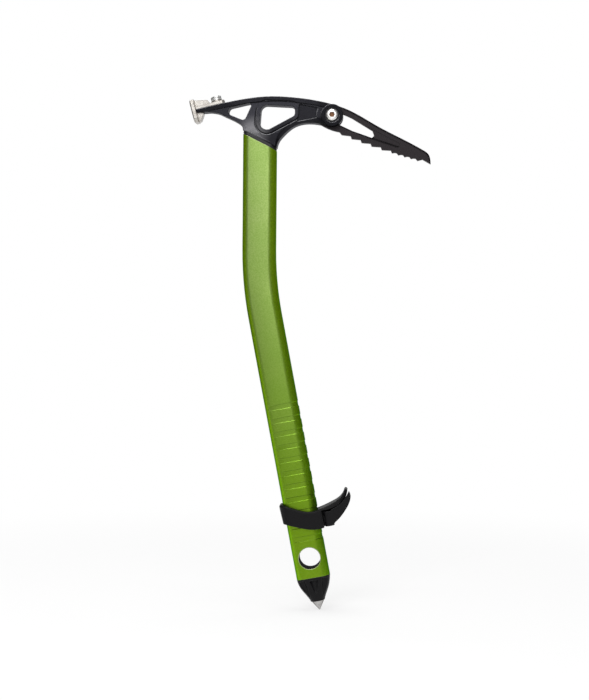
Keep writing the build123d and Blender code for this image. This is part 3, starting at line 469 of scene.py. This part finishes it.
for start, end in (
    (knurl_in["Ridges"], ring.inputs["Vertices"]),
    (knurl_in["Ring Radius"], ring.inputs["Radius"]),
    (knurl_in["Ridge Radius"], ridge.inputs["Radius"]),
    (knurl_in["Ridge Length"], ridge.inputs["Depth"]),
    (ring.outputs["Mesh"], repeated.inputs["Points"]),
    (ridge.outputs["Mesh"], repeated.inputs["Instance"]),
    (repeated.outputs["Instances"], realized.inputs["Geometry"]),
    (realized.outputs["Geometry"], steel.inputs["Geometry"]),
    (steel.outputs["Geometry"], knurl_out.inputs["Ridged Ring"]),
):
    knurl_tree.links.new(start, end)
knurl = bpy.data.objects.new("hammer_screw_knurl", bpy.data.meshes.new("knurl_start"))
bpy.context.collection.objects.link(knurl)
rolling = knurl.modifiers.new("rolled_knurl", "NODES")
rolling.node_group = knurl_tree
sockets_by_name = {socket.name: socket.identifier for socket in knurl_tree.interface.items_tree}
for size_name, _, size in knurl_sizes:
    rolling[sockets_by_name[size_name]] = size
knurl_mesh = bpy.data.meshes.new_from_object(knurl.evaluated_get(bpy.context.evaluated_depsgraph_get()))
knurl.modifiers.remove(rolling)
knurl.data = knurl_mesh
knurl_middle = hammer_origin + screw_along * screw_distance
knurl_middle += screw_up * (screw_seat + (knurl_bottom + knurl_top) / 2)
knurl_mesh.transform(Matrix.Translation(knurl_middle) @ Matrix.Rotation(-hammer_lean, 4, "Y"))
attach(knurl, "tool")

# Ferrule: the moulded nylon plug in the foot of the tube, pierced by the clip hole. Its nose is
# fluted, and its fine mould texture is painted a little lighter along the edges as a highlight.
nylon_black, nylon_grey = (0.0025, 0.0025, 0.003), (0.0055, 0.005, 0.006)
edge_highlight_nylon = (0.050, 0.049, 0.052)
nylon_bore_edge, nylon_bore_core = clip_hole_radius + 0.0008, clip_hole_radius + 0.0006


def moulded_nylon(name, roughness, broken_edge):
    """Black nylon with a fine mould texture, painted a little lighter along its edges as a highlight."""
    nylon = Finish(name, nylon_black, Specular_IOR_Level=0.16)
    mould = nylon.noise(scale=2800.0)
    wear = nylon.noise(scale=70.0, detail=3.0)
    nylon.tint(nylon.step(mould, 0.3, 0.7), nylon_grey)
    # The edges are painted lighter as a highlight.
    nylon.tint(nylon.edges(radius=0.0009, low=0.01, high=0.15), edge_highlight_nylon, amount=0.6)
    from_clip = nylon.away((0.0, 0.0, 0.0), seen_along_hole)
    clip_bore = nylon.step(from_clip, nylon_bore_edge, nylon_bore_core)
    worn = nylon.step(wear, 0.3, 0.7, roughness, roughness + 0.06)
    nylon.set("Roughness", worn + mould * 0.06 + clip_bore * 0.5)
    nylon.relief((mould, 0.000002), (wear, 0.00006), broken_edge=broken_edge)
    return nylon


moulded_nylon("ferrule_moulded_nylon", 0.3, 0.0005).dress("ferrule")

# Spike: the turned steel point, ground bright lengthwise, with its shank in the ferrule. A cross
# pin of black oxide steel locks it there.
ground_steel, bright_steel = (0.42, 0.41, 0.40), (0.55, 0.54, 0.53)
brown_gloss = (0.1, 0.09, 0.08)
streak_stretch = (1.0, 1.0, 0.06)
spike_skin = Finish("spike_ground_steel", ground_steel, Metallic=1.0, Specular_Tint=brown_gloss)
lengthwise = spike_skin.stretched(streak_stretch, (0.0, handle_lean, 0.0))
streaks = spike_skin.noise(scale=900.0, detail=3.0, place=lengthwise)
spike_skin.tint(spike_skin.step(streaks, 0.35, 0.65), bright_steel)
spike_skin.set("Roughness", spike_skin.step(streaks, 0.3, 0.7, start=0.16, end=0.24))
spike_skin.relief((streaks, 0.000001))
spike_skin.dress("spike")
oxide_skin.dress("spike_pin")

# Pommel: the moulded nylon hand rest that closes round the handle, with the split ear that the
# cam squeezes against the shaft. Its mould was blasted, so it is duller than the ferrule.
moulded_nylon("pommel_moulded_nylon", 0.46, 0.0022).dress("pommel_body")

# Clamp lever: the same nylon from a slightly smoother mould. Its oval hub turns on the barrel, and
# is the cam that presses on the cam plate.
moulded_nylon("lever_smooth_nylon", 0.4, 0.001).dress("clamp_lever")

# Clamp hardware: the turned barrel in the lever's hub, the tension screw with its washer, and the
# cam plate, cut from strip. All are steel, and have the dark skin of the pick washer.
oxide_skin.dress("lever_barrel", "tension_screw", "screw_washer", "cam_plate")

# Floor: a plain pale studio floor just under the spike's tip. Its white is the same to the camera
# and in reflections, it keeps the tool's shadow, and it fades into the backdrop at its rim.
floor_gap = 0.0004
floor_height = cad_box[0][2] - floor_gap
floor_radius = 0.95
rim_points = 96
fade_from, fade_to = 0.25, 0.85
glow_near, glow_far = 0.75, 1.0
floor_grey, floor_pale = (0.91, 0.91, 0.91), (0.93, 0.93, 0.93)
rim_angles = [step * 2.0 * math.pi / rim_points for step in range(rim_points)]
floor_rim = [
    (floor_radius * math.cos(turn), floor_radius * math.sin(turn), floor_height) for turn in rim_angles
]
floor_mesh = bpy.data.meshes.new("studio_floor")
floor_mesh.from_pydata(floor_rim, [], [tuple(range(rim_points))])
floor = bpy.data.objects.new("studio_floor", floor_mesh)
bpy.context.collection.objects.link(floor)
floor_skin = Finish("studio_floor_paint", floor_grey, Roughness=0.9)
floor_skin.tint(floor_skin.noise(scale=3.0), floor_pale)
fading = floor_skin.step(floor_skin.away((0.0, 0.0, 0.0)), fade_from, fade_to, glow_near, glow_far)
paint = Socket(floor_skin, floor_skin.shader.outputs[0])
glow = floor_skin.node("ShaderNodeEmission", {}, {"Strength": 1.0})
lit = floor_skin.node("ShaderNodeMixShader", {}, {0: floor_skin.shown_rays() * fading, 1: paint, 2: glow})
floor_skin.fill(floor_skin.surface, lit)
floor_mesh.materials.append(floor_skin.material)

# Studio: a plain grey surround and three softboxes light the tool. The camera sees white, and gloss
# sees a white backdrop behind the tool and a white card in front of it, between darker sides.
white = (1.0, 1.0, 1.0)
surround_level = 0.2
dark_side_level = 0.16
front_card_level = 0.8
backdrop_level = 1.0
backdrop_edge, backdrop_full = 0.75, 0.95
card_edge, card_full = -0.80, -0.95
world = bpy.data.worlds.new("studio")
bpy.context.scene.world = world
studio = Tree(world, "ShaderNodeOutputWorld")
facing = studio.node("ShaderNodeTexCoord", output="Generated")
backward = studio.dot(facing, (0.0, 1.0, 0.0))
backdrop = studio.step(backward, backdrop_edge, backdrop_full, dark_side_level, backdrop_level)
front_card = studio.step(backward, card_edge, card_full, 0.0, front_card_level)
shown_level = studio.ray("Camera").larger(front_card.larger(backdrop))
surround = studio.node("ShaderNodeBackground", {}, {"Color": white, "Strength": surround_level})
shown = studio.node("ShaderNodeBackground", {}, {"Color": white, "Strength": shown_level})
studio_mix = studio.node("ShaderNodeMixShader", {}, {0: studio.shown_rays(), 1: surround, 2: shown})
studio.fill(studio.surface, studio_mix)

tool_middle = Vector((-0.02, 0.0, 0.2))
softboxes = (
    ("key_softbox", Vector((-0.45, -1.35, 1.35)), 0.9, 17.0),
    ("fill_softbox", Vector((0.5, -1.6, 0.9)), 0.8, 5.0),
    ("top_softbox", Vector((-0.1, 0.0, 2.0)), 0.9, 24.0),
)
for name, position, size, power in softboxes:
    lamp = bpy.data.lights.new(name, "AREA")
    lamp.shape = "SQUARE"
    lamp.size = size
    lamp.energy = power
    softbox = bpy.data.objects.new(name, lamp)
    towards_tool = (tool_middle - position).to_track_quat("-Z", "Y").to_matrix().to_4x4()
    softbox.matrix_world = Matrix.Translation(position) @ towards_tool
    bpy.context.collection.objects.link(softbox)

# Camera: nearly level with the middle of the tool, and turned a little towards the pick's side.
# Its aim, turn, rise and roll give the photograph's view, and its pixels the photograph's scale.
camera_distance = 1.4
camera_turn = math.radians(3.0)
camera_rise = math.radians(0.9)
camera_roll = math.radians(0.49)
camera_pixels = 1437.7
photo_height = 700
aim = Vector((-0.0168, 0.0, 0.2016))
lens = bpy.data.cameras.new("photo_camera")
lens.sensor_width = 36.0
lens.lens = camera_pixels / photo_height * lens.sensor_width
camera = bpy.data.objects.new("photo_camera", lens)
camera.matrix_world = (
    Matrix.Translation(aim)
    @ Matrix.Rotation(camera_turn, 4, "Z")
    @ Matrix.Rotation(math.pi / 2 - camera_rise, 4, "X")
    @ Matrix.Rotation(camera_roll, 4, "Z")
    @ Matrix.Translation((0.0, 0.0, camera_distance))
)
bpy.context.collection.objects.link(camera)
bpy.context.scene.camera = camera
bpy.context.scene.view_settings.view_transform = "Standard"
